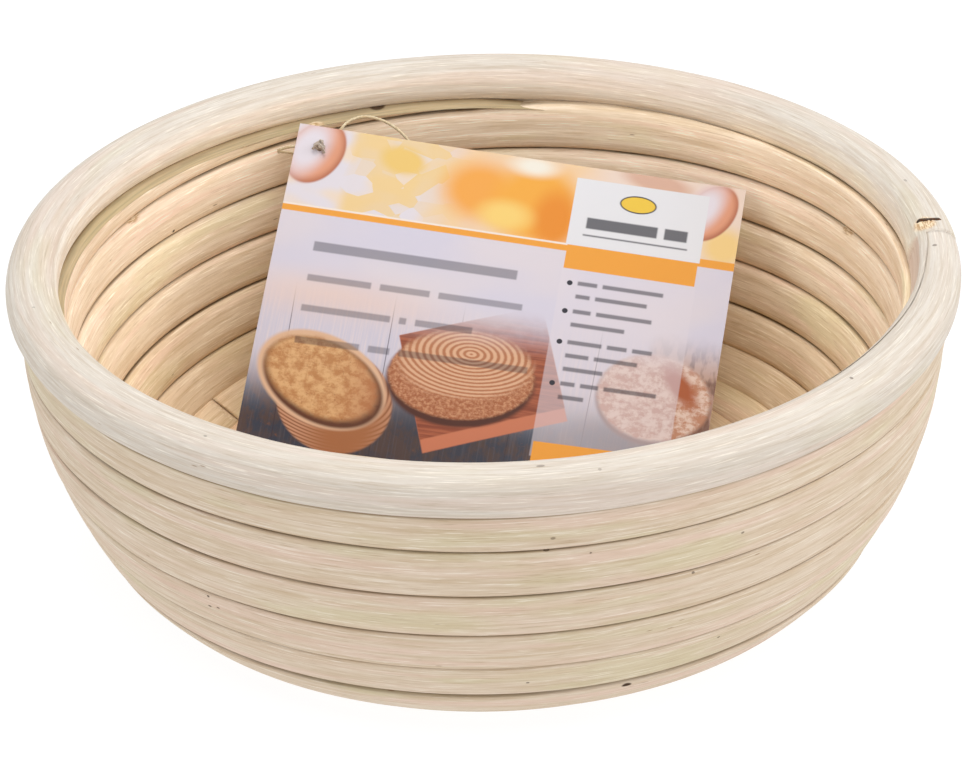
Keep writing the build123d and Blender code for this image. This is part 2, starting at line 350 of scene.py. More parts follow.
def mark_on(section, along, degrees, sizes):
    """A mark's place on a straightened cane, at an angle round its section, and its sizes."""
    angle = math.radians(degrees)
    reach = float(section_radius(np.array(angle), *section))
    return (along, reach * math.cos(angle), reach * math.sin(angle)), *sizes


def cane_run(first, last, step):
    """Even steps along one length of the coil and its laps: lengths along it, and counts of turns there."""
    lap = SPLICE_HALF_LENGTH / (TURN * LAP_RADIUS)
    low = first - lap if first > 0 else first
    high = last + lap if last < LAST_TURN else last
    turns = np.linspace(low, high, COARSE_STEPS)
    run = lengths_along(coil_frame(turns)[0])
    along = np.linspace(0, run[-1], int(run[-1] / step))
    return along, np.interp(along, run, turns)


def cane_section(turn, along, around, seed):
    """The skin's places across and up the section, 1 in the grooves between turns, and the skin's ridges."""
    line = along[:, 0]
    swell = 1 + unevenness(SWELL, seed + 1, line)[:, None]
    flatter = 1 + unevenness(FLATNESS, seed + 2, line)[:, None]
    out_power = OUT_POWER * (1 + unevenness(SQUARENESS, seed + 7, line)[:, None])
    here = coil_length(turn)
    upper_half = (coil_length(turn + 1) - here) / 2 + SIDE_OVERLAP
    upper_half = upper_half + np.interp(turn, TOP_SWELL_TURNS, (0, TOP_SWELL, TOP_SWELL, 0))
    lower_half = (here - coil_length(np.maximum(turn - 1, 0))) / 2 + SIDE_OVERLAP
    lower_half = np.where(turn > 1, lower_half, SIDE_HALF)
    side_half = np.where(np.sin(around) > 0, upper_half[:, None], lower_half[:, None])
    reach = section_radius(around, OUT_HALF * flatter, IN_HALF * swell, side_half, out_power, IN_POWER)
    sanded = SANDED_SHARE + (1 - SANDED_SHARE) * smooth_step(0.2, -0.2, np.cos(around))
    ridges = unevenness(COIL_RIDGES, seed + 3, along, around)
    fibres = unevenness((COIL_FIBRE_STEP, around.shape[1] // 2, COIL_FIBRE_SIZE), seed + 4, along, around)
    reach = reach + (ridges + fibres) * sanded
    narrow = 1.0
    if turn[0] == 0:
        narrow = START_NARROW + (1 - START_NARROW) * smooth_step(0, START_LENGTH, line)[:, None]
    across = reach * np.cos(around) * narrow
    upward = reach * np.sin(around) * narrow
    across = np.where(across > 0, across * (1 - CROWN * (upward / SIDE_HALF) ** 2), across)
    # 1 deep in the grooves, which the material darkens with dirt and painted shade.
    groove = np.where(
        across > 0,
        smooth_step(*GROOVE_OUT_DEPTHS, OUT_HALF - across),
        smooth_step(*GROOVE_IN_DEPTHS, IN_HALF + across),
    ) * smooth_step(*GROOVE_SIDES, np.abs(upward) / side_half)
    return across, upward, groove, ridges


def cut_splices(across, turn, radius, first, last, ridges):
    """The section's places across, cut on the slant where one length of cane laps the next."""
    from_start = (turn - first) * TURN * radius
    from_end = (last - turn) * TURN * radius
    if first > 0:
        limit = OUT_HALF * from_start / SPLICE_HALF_LENGTH - SPLICE_GAP
        across = np.minimum(across, limit[:, None] + SPLICE_ROUGH * ridges)
    if last < LAST_TURN:
        limit = SPLICE_GAP - OUT_HALF * from_end / SPLICE_HALF_LENGTH
        across = np.maximum(across, limit[:, None])
    return across


def fit_under_rim(points, along, around, turn, groove, seed):
    """Pares the top turn to fit the rim, and thins its tip. Returns its groove, and 1 on its pared face."""
    distance = np.hypot(points[..., 0], points[..., 1])
    top = under_rim(distance, turn[:, None]) + unevenness(PARED_RIPPLE, seed, along, around)
    top = np.maximum(top, points[..., 2].min(1)[:, None] + LEAST_THICKNESS)
    above = points[..., 2] - top
    points[..., 2] = np.minimum(points[..., 2], top)
    # Measured in the rim's half sizes, so that 1 is on its skin.
    to_rim = np.hypot((distance - RIM_RADIUS) / RIM_HALF_WIDTH, (points[..., 2] - RIM_Z) / RIM_HALF_HEIGHT)
    pared = smooth_step(0, 0.0004, above)
    # Next to the rim the groove grows: dirt and painted contact shadow where the top turn meets it, a
    # stronger dark line of both outside, and painted shade under the rim inside.
    touching = smooth_step(1.16, 1.04, to_rim) * smooth_step(0.0012, 0.0004, -above)
    groove = np.maximum(groove * (1 - pared), touching)
    deeper = groove * (1 + 0.8 * (to_rim < 1.2))
    shaded = 0.55 * smooth_step(1.45, 1.05, to_rim)
    groove = np.where(distance > RIM_RADIUS, deeper, np.maximum(groove, shaded))
    pared = pared * smooth_step(*PARED_TURNS[2:], turn)[:, None]
    left = (along[-1] - along) / TIP_LENGTH
    squeeze = TIP_THIN + (1 - TIP_THIN) * np.sqrt(np.clip(left, 0, 1))
    bottom = points[..., 2].min(1)[:, None]
    points[..., 2] = bottom + (points[..., 2] - bottom) * squeeze
    return groove, pared


def torn_fibres(turn, radius, around):
    """1 where the cane's fibres are torn."""
    torn = np.zeros_like(around)
    for torn_turn, section, length, width in TORN_PLACES:
        far = (turn - torn_turn)[:, None] * TURN * radius[:, None] / length
        torn = np.maximum(torn, np.exp(-(far**2) - ((around - section) / width) ** 2))
    return torn


def make_cane(name, first, last, step, count, seed, marks):
    """One length of the coil's cane, from one count of turns to another. Adds its marks to the list."""
    line, turn = cane_run(first, last, step)
    middle, skin, rise, radius = coil_frame(turn, unevenness(WOBBLE, seed, line))
    even = np.arange(count) / count * TURN
    along, around = np.meshgrid(line, even + CORNER_GATHER / 4 * np.sin(4 * even), indexing="ij")
    across, upward, groove, ridges = cane_section(turn, along, around, seed)
    across = cut_splices(across, turn, radius, first, last, ridges)
    points = middle[:, None] + skin[:, None] * across[..., None] + rise[:, None] * upward[..., None]
    pared = np.zeros_like(groove)
    if last == LAST_TURN:
        groove, pared = fit_under_rim(points, along, around, turn, groove, seed + 5)
    points[..., 2] = np.maximum(points[..., 2], 0)

    shift = seed * GRAIN_SHIFT
    straight = np.stack([along + shift, across, upward], -1)
    for mark_turn, degrees, *sizes in COIL_MARKS:
        if first < mark_turn < last:
            place = float(np.interp(mark_turn, turn, line)) + shift
            marks.append(mark_on(CANE_SECTION, place, degrees, sizes))
    # 1 on the inner face, where the material paints the inside's light and shade and darkens its grooves
    # more.
    inside = smooth_step(-0.25, 0.6, -np.cos(around))
    torn = torn_fibres(turn, radius, around)
    crumbs = np.random.RandomState(seed + 6).uniform(-1, 1, torn.shape)
    points = points + (torn * crumbs * TORN_DEPTH)[..., None] * skin[:, None]
    attributes = {"straight": straight, "groove": groove, "inside": inside, "pared": pared, "torn": torn}
    piece = tube_piece(name, points, attributes, seed=seed)
    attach(piece, "basket")
    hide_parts(name)
    return piece


SPLICE_TURNS = (7.113, 9, 11)
SPLICE_PIN_PLACES = (-0.005, 0.005)
SPLICE_PIN_HALF = 0.0046
PIN_RADIUS = 0.0006
PIN_SIDES = 12


def make_splice_pins():
    """Two hidden wire pins across each splice, on the coil's own uneven line."""
    parts = []
    around = np.arange(PIN_SIDES) / PIN_SIDES * TURN
    for turn in SPLICE_TURNS:
        radius = coil_frame(np.array(turn))[3]
        for along in SPLICE_PIN_PLACES:
            middle, skin, rise, _ = coil_frame(np.array(turn + along / (TURN * radius)))
            sideways = np.cross(skin, rise)
            ring = PIN_RADIUS * (np.outer(np.cos(around), rise) + np.outer(np.sin(around), sideways))
            rings = np.stack([middle + skin * far + ring for far in (SPLICE_PIN_HALF, -SPLICE_PIN_HALF)])
            parts.append(tube_piece("splice_wires", rings, {}, cap_rings=(0.5,), cap_rough=0.0))
    join(parts)
    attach(parts[0], "basket")
    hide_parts("splice_pins")
    return parts[0]


# ---------------------------------------------------------------- the rim

# The butt joint, and the tail that runs on inside it to its end, with a seam between.
BUTT_ANGLE = math.radians(90.8)
BUTT_SKEW = 0.22
BUTT_SKEW_REACH = 0.012
BUTT_GAP = 0.0005
TAIL_END_ANGLE = math.radians(47.2)
SEAM_GAP = 0.00022
SEAM_EASE = 0.4
# The tail's pared face: its direction, its depth, and where it fades out towards the tail's end.
FACET_ANGLE = math.radians(166)
FACET_REACH = 0.0054
FACET_FADE = (math.radians(78), math.radians(58))
FACET_FADE_DEPTH = 0.0012
RIM_TORN_ANGLE = math.radians(93.2)
RIM_TORN_SECTION = math.radians(104)
RIM_TORN_LENGTH = 0.0035
RIM_TORN_WIDTH = 0.5
RIM_TORN_DEPTH = 0.0004
RIM_TORN_CRUMBS = 0.0003
SEAM_WIDTH = 0.05
RIM_GROOVE_WIDTH = 0.22

RIM_POWERS = (2.25, 2.15)
RIM_SECTION = (RIM_HALF_WIDTH, RIM_HALF_WIDTH, RIM_HALF_HEIGHT, *RIM_POWERS)
RIM_SWELL = (0.07, 1, 0.02)
RIM_RIDGES = (0.05, 24, 0.00012)
RIM_FIBRES = (0.018, 60, 0.00005)
RIM_LIFT = (0.09, 1, 0.0002)
RIM_STEP = 0.0014
# Where the rim's grain begins along its length, so that it isn't the coil's.
RIM_PLACE = 5.1
RIM_SEED = 71
INNER_POINTS = 34
OUTER_POINTS = 62
# The rim cane's stretches: outside the tail, alone, and the tail.
LAP, ALONE, TAIL = 0, 1, 2


def seam_angle(angle):
    """Angle round the rim's section at which the tail's seam shows on top."""
    degrees = np.degrees(angle)
    return np.radians(np.interp(degrees, (47, 62, 70, 82, 89), (136, 126, 118, 114, 106)))


def rim_line():
    """Angles round the basket along the rim cane, its stretch there, and its seam's angle in the section."""
    step = RIM_STEP / RIM_RADIUS
    lap = np.arange(BUTT_ANGLE - BUTT_GAP / RIM_RADIUS, TAIL_END_ANGLE, -step)
    alone = np.arange(TAIL_END_ANGLE, BUTT_ANGLE - TURN, -step)
    tail = np.arange(BUTT_ANGLE - TURN - step / 6, TAIL_END_ANGLE - TURN, -step)
    angle = np.concatenate([lap, alone, tail])
    stretch = np.repeat((LAP, ALONE, TAIL), (len(lap), len(alone), len(tail)))
    ease = smooth_step(0, SEAM_EASE, (angle - (BUTT_ANGLE - TURN)) % TURN)
    between = seam_angle(TAIL_END_ANGLE) * ease + seam_angle(BUTT_ANGLE) * (1 - ease)
    seam = np.where(stretch == ALONE, between, seam_angle(np.where(stretch == TAIL, angle + TURN, angle)))
    return angle, stretch, seam


def make_rim(marks):
    """The rim cane: from its butt end, once round, and on inside itself as a thin tail."""
    angle, stretch, seam = rim_line()
    line = (BUTT_ANGLE - angle) * RIM_RADIUS
    inner_share = np.arange(INNER_POINTS) / INNER_POINTS
    outer_share = np.arange(OUTER_POINTS) / OUTER_POINTS
    inner = seam[:, None] + (TURN - 2 * seam[:, None]) * inner_share
    outer = -seam[:, None] + 2 * seam[:, None] * outer_share
    around = np.concatenate([inner, outer], 1)
    along = np.repeat(line[:, None], around.shape[1], 1)

    swell = 1 + unevenness(RIM_SWELL, RIM_SEED, line)[:, None]
    reach = section_radius(around, RIM_HALF_WIDTH, RIM_HALF_WIDTH, RIM_HALF_HEIGHT * swell, *RIM_POWERS)
    reach = reach + unevenness(RIM_RIDGES, RIM_SEED + 1, along, around)
    reach = reach + unevenness(RIM_FIBRES, RIM_SEED + 2, along, around)
    across, upward = reach * np.cos(around), reach * np.sin(around)

    # A flat chord from the seam on top to the seam below parts the lap from the tail inside it.
    is_inner = np.arange(around.shape[1]) < INNER_POINTS
    chord_share = np.concatenate([inner_share, 1 - outer_share])
    low = slice(INNER_POINTS, INNER_POINTS + 1)
    chord_across = across[:, :1] + (across[:, low] - across[:, :1]) * chord_share
    chord_upward = upward[:, :1] + (upward[:, low] - upward[:, :1]) * chord_share
    on_lap = (stretch == LAP)[:, None] & is_inner
    on_tail = (stretch == TAIL)[:, None] & ~is_inner
    across = np.where(on_lap, chord_across, np.where(on_tail, chord_across - SEAM_GAP, across))
    upward = np.where(on_lap | on_tail, chord_upward, upward)

    facing = across * math.cos(FACET_ANGLE) + upward * math.sin(FACET_ANGLE)
    facet_reach = FACET_REACH + FACET_FADE_DEPTH * smooth_step(*FACET_FADE, angle + TURN)[:, None]
    cut = np.maximum(0, facing - facet_reach) * (stretch == TAIL)[:, None]
    across = across - cut * math.cos(FACET_ANGLE)
    upward = upward - cut * math.sin(FACET_ANGLE)

    lift = unevenness(RIM_LIFT, RIM_SEED + 3, line)[:, None]
    from_butt = (angle - BUTT_ANGLE + math.pi) % TURN - math.pi
    near_butt = np.exp(-((from_butt * RIM_RADIUS / BUTT_SKEW_REACH) ** 2))[:, None]
    skew = BUTT_SKEW * near_butt * across / RIM_RADIUS
    points = radial(angle[:, None] + skew) * (RIM_RADIUS + across + lift)[..., None]
    points[..., 2] = RIM_Z + upward
    behind_joint = (angle - (RIM_TORN_ANGLE - TURN))[:, None] * RIM_RADIUS / RIM_TORN_LENGTH
    torn = np.exp(-(behind_joint**2) - ((around - RIM_TORN_SECTION) / RIM_TORN_WIDTH) ** 2)
    torn = torn * (stretch == ALONE)[:, None]
    crumbs = np.random.RandomState(RIM_SEED + 5).uniform(-1, 1, around.shape)
    points[..., 2] -= torn * (RIM_TORN_DEPTH + RIM_TORN_CRUMBS * crumbs)
    seamed = np.exp(-(((around - seam[:, None]) / SEAM_WIDTH) ** 2)) * (stretch != ALONE)[:, None]
    straight = np.stack([along + RIM_PLACE, across, upward], -1)
    for degrees, section_degrees, *sizes in RIM_MARKS:
        ahead = (BUTT_ANGLE - math.radians(degrees)) % TURN
        marks.append(mark_on(RIM_SECTION, ahead * RIM_RADIUS + RIM_PLACE, section_degrees, sizes))
    # The rim darkens along its underside, where it sits on the top turn, with dirt and painted contact
    # shadow, and along the seam between lap and tail.
    groove = np.maximum(np.exp(-(((np.sin(around) + 1) / RIM_GROOVE_WIDTH) ** 2)), seamed)
    # The rim's lower inner side takes the inside's painted light.
    inside = smooth_step(0.05, 0.75, -np.cos(around)) * smooth_step(0.85, 0.0, np.sin(around))
    pared = smooth_step(0, 0.0002, cut)
    attributes = {"straight": straight, "groove": groove, "inside": inside, "pared": pared, "torn": torn}
    piece = tube_piece("rim_cane_skin", points, attributes, cap_rough=0.0004, seed=RIM_SEED + 4)
    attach(piece, "basket")
    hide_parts("rim_cane")
    return piece


# ---------------------------------------------------------------- the card

def card_frame():
    """The card's top left corner, its unit directions along, down and front, and its width and height."""
    points = np.array([v.co for v in frame["nodes"]["tag_card"].data.vertices])
    middle = points.mean(0)
    _, _, axes = np.linalg.svd(points - middle)
    front = axes[2] * (1 if axes[2][2] > 0 else -1)
    joint = frame["joints"][0]
    along = -np.array(joint["axis"], float)
    along = along / np.linalg.norm(along)
    down = np.cross(front, along)
    down = down * (1 if down[2] < 0 else -1)
    wide, high = (points - middle) @ along, (points - middle) @ down
    corner = middle + along * wide.min() + down * high.min()
    return corner, along, down, front, np.ptp(wide), np.ptp(high)


CARD_CORNER, ALONG, DOWN, FRONT, CARD_WIDTH, CARD_HEIGHT = card_frame()
HOLE = np.array(frame["joints"][0]["pos_m"], float)
CARD_HALF_THICK = 0.00022
CARD_BOW = 0.0005
CARD_DROOP = 0.008
HOLE_RADIUS = 0.0013
CARD_CELL = 0.0026
ARC_PARTS = 4


def card_point(across, down, lift=0.0):
    """A point on the card's middle sheet, which bows a little and droops at its free lower left corner."""
    bow = CARD_BOW * (1 - (2 * across / CARD_WIDTH - 1) ** 2) * (2 * down / CARD_HEIGHT - 1) ** 2
    droop = CARD_DROOP * max(0.0, 1 - across / CARD_WIDTH) ** 1.4 * (down / CARD_HEIGHT) ** 2
    return CARD_CORNER + ALONG * across + DOWN * down + FRONT * (lift - bow - droop)


def grid_lines(size, hole):
    """Places of the card's grid lines along one side, three of them at and beside the hole."""
    lines = [*np.arange(0, size, CARD_CELL), size, hole - CARD_CELL, hole, hole + CARD_CELL]
    lines = np.unique(np.round(lines, 6))
    away = np.abs(lines - hole)
    return lines[(away < 1e-5) | (away >= CARD_CELL * 0.99)]


def make_card():
    """Two printed faces of a fine grid, with a round punched hole, and the paper's edge between."""
    hole_u, hole_v = (HOLE - CARD_CORNER) @ ALONG, (HOLE - CARD_CORNER) @ DOWN
    across, downs = grid_lines(CARD_WIDTH, hole_u), grid_lines(CARD_HEIGHT, hole_v)
    columns, rows = len(across), len(downs)
    hole_column = int(np.argmin(np.abs(across - hole_u)))
    hole_row = int(np.argmin(np.abs(downs - hole_v)))
    middle = hole_row * columns + hole_column
    flat = [(u, v) for v in downs for u in across]
    del flat[middle]

    def at(row, column):
        index = row * columns + column
        return index if index < middle else index - 1

    quads = []
    for row in range(rows - 1):
        for column in range(columns - 1):
            if row in (hole_row - 1, hole_row) and column in (hole_column - 1, hole_column):
                continue
            quads.append((at(row, column), at(row + 1, column), at(row + 1, column + 1), at(row, column + 1)))
    square = [(-1, -1), (-1, 0), (-1, 1), (0, 1), (1, 1), (1, 0), (1, -1), (0, -1)]
    border = [at(hole_row + dr, hole_column + dc) for dr, dc in square]
    ring_start = len(flat)
    ring = []
    for index, (dr, dc) in enumerate(square):
        next_dr, next_dc = square[(index + 1) % 8]
        for part in range(ARC_PARTS):
            share = part / ARC_PARTS
            turn = math.atan2(dr + (next_dr - dr) * share, dc + (next_dc - dc) * share)
            flat.append((hole_u + HOLE_RADIUS * math.cos(turn), hole_v + HOLE_RADIUS * math.sin(turn)))
            ring.append(ring_start + len(ring))
    for index in range(8):
        arc = [ring[(index * ARC_PARTS + part) % len(ring)] for part in range(ARC_PARTS + 1)]
        quads.append((border[index], border[(index + 1) % 8], *arc[::-1]))
    outline = [at(0, c) for c in range(columns)]
    outline += [at(r, columns - 1) for r in range(1, rows)]
    outline += [at(rows - 1, c) for c in range(columns - 2, -1, -1)]
    outline += [at(r, 0) for r in range(rows - 2, 0, -1)]
    total = len(flat)
    points = [card_point(u, v, CARD_HALF_THICK) for u, v in flat]
    points += [card_point(u, v, -CARD_HALF_THICK) for u, v in flat]
    faces = [list(q) for q in quads] + [[i + total for i in reversed(q)] for q in quads]
    sides = len(faces)
    for loop in (outline, ring[::-1]):
        for here, there in zip(loop, loop[1:] + loop[:1]):
            faces.append([here, there, there + total, here + total])
    piece = mesh_piece("printed_card", points, faces, smooth=False)
    add_attribute(piece, "print", [(u, v, 0) for u, v in flat] * 2)
    for index, polygon in enumerate(piece.data.polygons):
        polygon.material_index = 2 if index >= sides else (0 if index < len(quads) else 1)
    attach(piece, "tag")
    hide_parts("tag_card")
    return piece


# ---------------------------------------------------------------- the thread and its knot

THREAD_RADIUS = 0.0004
THREAD_ROUTE = (
    (-0.0575, 0.0921, 0.0724),
    (-0.0532, 0.0899, 0.0752),
    (-0.0454, 0.0882, 0.0742),
    (-0.0412, 0.0932, 0.0750),
    (-0.0384, 0.0972, 0.0784),
    (-0.0324, 0.0986, 0.0800),
    (-0.0246, 0.0988, 0.0766),
    (-0.0184, 0.0982, 0.0692),
    (-0.0180, 0.0974, 0.0602),
    (-0.0260, 0.0978, 0.0544),
    (-0.0372, 0.0970, 0.0564),
    (-0.0460, 0.0948, 0.0632),
    (-0.0522, 0.0934, 0.0716),
    (-0.0577, 0.0921, 0.0718),
)
THREAD_SIDES = 12
THREAD_LAY = 0.0021
PLY_DEPTH = 0.16

KNOT_STEPS = 121
KNOT_SIZE = 0.00056 * 0.82
KNOT_FLAT = 0.9
KNOT_STANDS_OUT = 0.00125
KNOT_THREAD_RADIUS = 0.00042
END_THREAD_RADIUS = 0.00036
# Two cut ends, then two strands through the hole: tenths of a millimetre along, down and in front of it.
KNOT_ENDS = (
    ((0, 0, 14), (6, 7, 21), (12, 16, 18), (17, 24, 10)),
    ((0, 0, 12), (-7, 4, 20), (-14, 10, 18), (-17, 17, 11)),
    ((3, -2, -20), (4, -3, -8), (3, 1, 5), (1, 3, 12)),
    ((-3, 2, -20), (-5, 3, -8), (-3, -2, 5), (0, -3, 12)),
)


def smooth_line(points):
    """Points along the NURBS spline that a route's points control."""
    curve = bpy.data.curves.new("route", "CURVE")
    curve.dimensions = "3D"
    curve.resolution_u = 24
    spline = curve.splines.new("NURBS")
    spline.points.add(len(points) - 1)
    for control, point in zip(spline.points, points):
        control.co = (*point, 1)
    spline.order_u = 3
    spline.use_endpoint_u = True
    route = bpy.data.objects.new("route", curve)
    bpy.context.scene.collection.objects.link(route)
    bpy.context.view_layer.update()
    line = bpy.data.meshes.new_from_object(route)
    found = np.array([v.co for v in line.vertices])
    bpy.data.objects.remove(route)
    bpy.data.meshes.remove(line)
    return found


def twisted_tube(name, line, radius):
    """A two-ply thread along a line of points."""
    heading = np.gradient(line, axis=0)
    heading = heading / np.linalg.norm(heading, axis=1)[:, None]
    side = np.cross(heading[0], (0.3, 0.2, 1.0))
    rings = []
    run = lengths_along(line)
    even = np.arange(THREAD_SIDES) / THREAD_SIDES * TURN
    for at, ahead, length in zip(line, heading, run):
        side = side - ahead * (side @ ahead)
        side = side / np.linalg.norm(side)
        up = np.cross(ahead, side)
        reach = radius * (1 + PLY_DEPTH * np.cos(2 * (even - length / THREAD_LAY * TURN)))
        rings.append(at + np.outer(reach * np.cos(even), side) + np.outer(reach * np.sin(even), up))
    rings = np.array(rings)
    straight = np.zeros_like(rings)
    straight[..., 0] = run[:, None]
    straight[..., 1] = np.cos(even) * radius
    straight[..., 2] = np.sin(even) * radius
    return tube_piece(name, rings, {"straight": straight}, cap_rings=(0.6,), cap_rough=0.00005)


def make_knot():
    """An overhand knot in front of the card's hole, its two cut ends, and the thread through the hole."""
    turn = np.linspace(0, TURN, KNOT_STEPS)
    loop_across = np.sin(turn) + 2 * np.sin(2 * turn)
    loop_down = np.cos(turn) - 2 * np.cos(2 * turn)
    loop_front = -KNOT_FLAT * np.sin(3 * turn)
    loop = np.outer(loop_across, ALONG) + np.outer(loop_down, DOWN) + np.outer(loop_front, FRONT)
    knot = HOLE + FRONT * KNOT_STANDS_OUT + KNOT_SIZE * loop
    piece = twisted_tube("thread_knot", knot, KNOT_THREAD_RADIUS)
    parts = [piece]
    for index, route in enumerate(KNOT_ENDS):
        line = smooth_line([HOLE + (ALONG * a + DOWN * d + FRONT * f) / 10000 for a, d, f in route])
        parts.append(twisted_tube(f"thread_end_{index}", line, END_THREAD_RADIUS))
    join(parts)
    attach(piece, "tag")
    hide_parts("tag_knot")
    return piece


def join(parts):
    """Joins pieces into the first of them."""
    with bpy.context.temp_override(active_object=parts[0], selected_editable_objects=parts, object=parts[0]):
        bpy.ops.object.join()


def make_thread():
    line = smooth_line(THREAD_ROUTE)
    piece = twisted_tube("tag_thread", line, THREAD_RADIUS)
    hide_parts("tag_cord")
    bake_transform(piece)
    return piece


# ---------------------------------------------------------------- materials

class Graph:
    """Short names for the nodes of one material. Its place is an attribute, or the object's own coordinates.

    A colour of three numbers is a picture colour, 0 to 255, and one of four is what a shader takes.
    """

    def __init__(self, name, place=None, specular=0.3):
        self.material = bpy.data.materials.new(name)
        self.material.use_nodes = True
        self.tree = self.material.node_tree
        self.shader = self.tree.nodes["Principled BSDF"]
        self.shader.inputs["Specular IOR Level"].default_value = specular
        self.place = self.attribute(place) if place else self.node("ShaderNodeTexCoord", output="Object")

    def put(self, socket, value):
        if isinstance(value, bpy.types.NodeSocket):
            self.tree.links.new(value, socket)
        elif socket.type == "RGBA" and len(value) == 3:
            socket.default_value = (*map(linear, value), 1)
        else:
            socket.default_value = value

    def finish(self, tone, **values):
        """Gives the shader its colour and other values, and returns the material."""
        for key, value in {"Base Color": tone, **values}.items():
            self.put(self.shader.inputs[key.replace("_", " ")], value)
        return self.material

    def node(self, kind, output=0, inputs=None, **settings):
        node = self.tree.nodes.new(kind)
        for key, value in settings.items():
            setattr(node, key, value)
        for key, value in (inputs or {}).items():
            self.put(node.inputs[key], value)
        return node.outputs[output]

    def math(self, operation, *values, clamp=False):
        return self.node("ShaderNodeMath", 0, dict(enumerate(values)), operation=operation, use_clamp=clamp)

    def times(self, first, second):
        return self.math("MULTIPLY", first, second)

    def vector_math(self, operation, *values, output="Vector"):
        return self.node("ShaderNodeVectorMath", output, dict(enumerate(values)), operation=operation)

    def split(self, vector):
        return self.node("ShaderNodeSeparateXYZ", slice(0, 3), {0: vector})

    def attribute(self, name, output="Vector"):
        return self.node("ShaderNodeAttribute", output=output, attribute_name=name)

    def scaled(self, vector, scale, shift=(0, 0, 0)):
        return self.node("ShaderNodeMapping", inputs={"Vector": vector, "Scale": scale, "Location": shift})

    def noise(self, vector, scale=1.0, detail=3.0, rough=0.55):
        inputs = {"Vector": vector, "Scale": scale, "Detail": detail, "Roughness": rough}
        return self.node("ShaderNodeTexNoise", "Fac", inputs)

    def grain(self, stretch, shift=(0, 0, 0), **settings):
        """Noise over the material's place, stretched and shifted."""
        return self.noise(self.scaled(self.place, stretch, shift), **settings)

    def cells(self, scale, output):
        inputs = {"Vector": self.scaled(self.place, scale), "Scale": 1.0}
        return self.node("ShaderNodeTexVoronoi", output, inputs)

    def ramp(self, value, low, high, to_low=0.0, to_high=1.0):
        inputs = {"Value": value, "From Min": low, "From Max": high, "To Min": to_low, "To Max": to_high}
        return self.node("ShaderNodeMapRange", inputs=inputs, interpolation_type="SMOOTHSTEP")

    def mix(self, share, first, second, blend="MIX"):
        node = self.tree.nodes.new("ShaderNodeMix")
        node.data_type = "RGBA"
        node.blend_type = blend
        self.put(node.inputs["Factor"], share)
        colours = [socket for socket in node.inputs if socket.type == "RGBA"]
        self.put(colours[0], first)
        self.put(colours[1], second)
        return next(socket for socket in node.outputs if socket.type == "RGBA")

    def fade(self, first, second, value, low, high, to_low=0.0, to_high=1.0):
        """One colour turning to another as a value goes from low to high."""
        return self.mix(self.ramp(value, low, high, to_low, to_high), first, second)

    def bump(self, height, distance, strength=1.0, normal=None):
        inputs = {"Height": height, "Distance": distance, "Strength": strength}
        if normal is not None:
            inputs["Normal"] = normal
        return self.node("ShaderNodeBump", inputs=inputs)


def linear(value):
    """One number of a picture colour, 0 to 255, as the shaders take it."""
    value = value / 255
    return value / 12.92 if value <= 0.04045 else ((value + 0.055) / 1.055) ** 2.4


# Painted light and shade on the inside: a warm tint near the floor and a much lighter one under the rim, so
# the inside is lighter high up and darker low down, and the heights between which it changes.
INSIDE_LOW_PAINTED_SHADE = (1.08, 1.00, 0.86, 1)
INSIDE_HIGH_PAINTED_LIGHT = (1.40, 1.40, 1.37, 1)
INSIDE_HEIGHTS = (0.022, 0.070)


def dark_marks(g, marks):
    """As dark as each small mark: its place on the straightened cane, half length and width, and darkness."""
    shade = 0.0
    for place, half_length, half_width, darkness in marks:
        away = g.vector_math("SUBTRACT", g.place, place)
        away = g.vector_math("MULTIPLY", away, (1 / half_length, 1 / half_width, 1 / half_width))
        reach = g.vector_math("LENGTH", away, output="Value")
        shade = g.math("MAXIMUM", shade, g.ramp(reach, 1.25, 0.75, 0.0, darkness))
    return shade


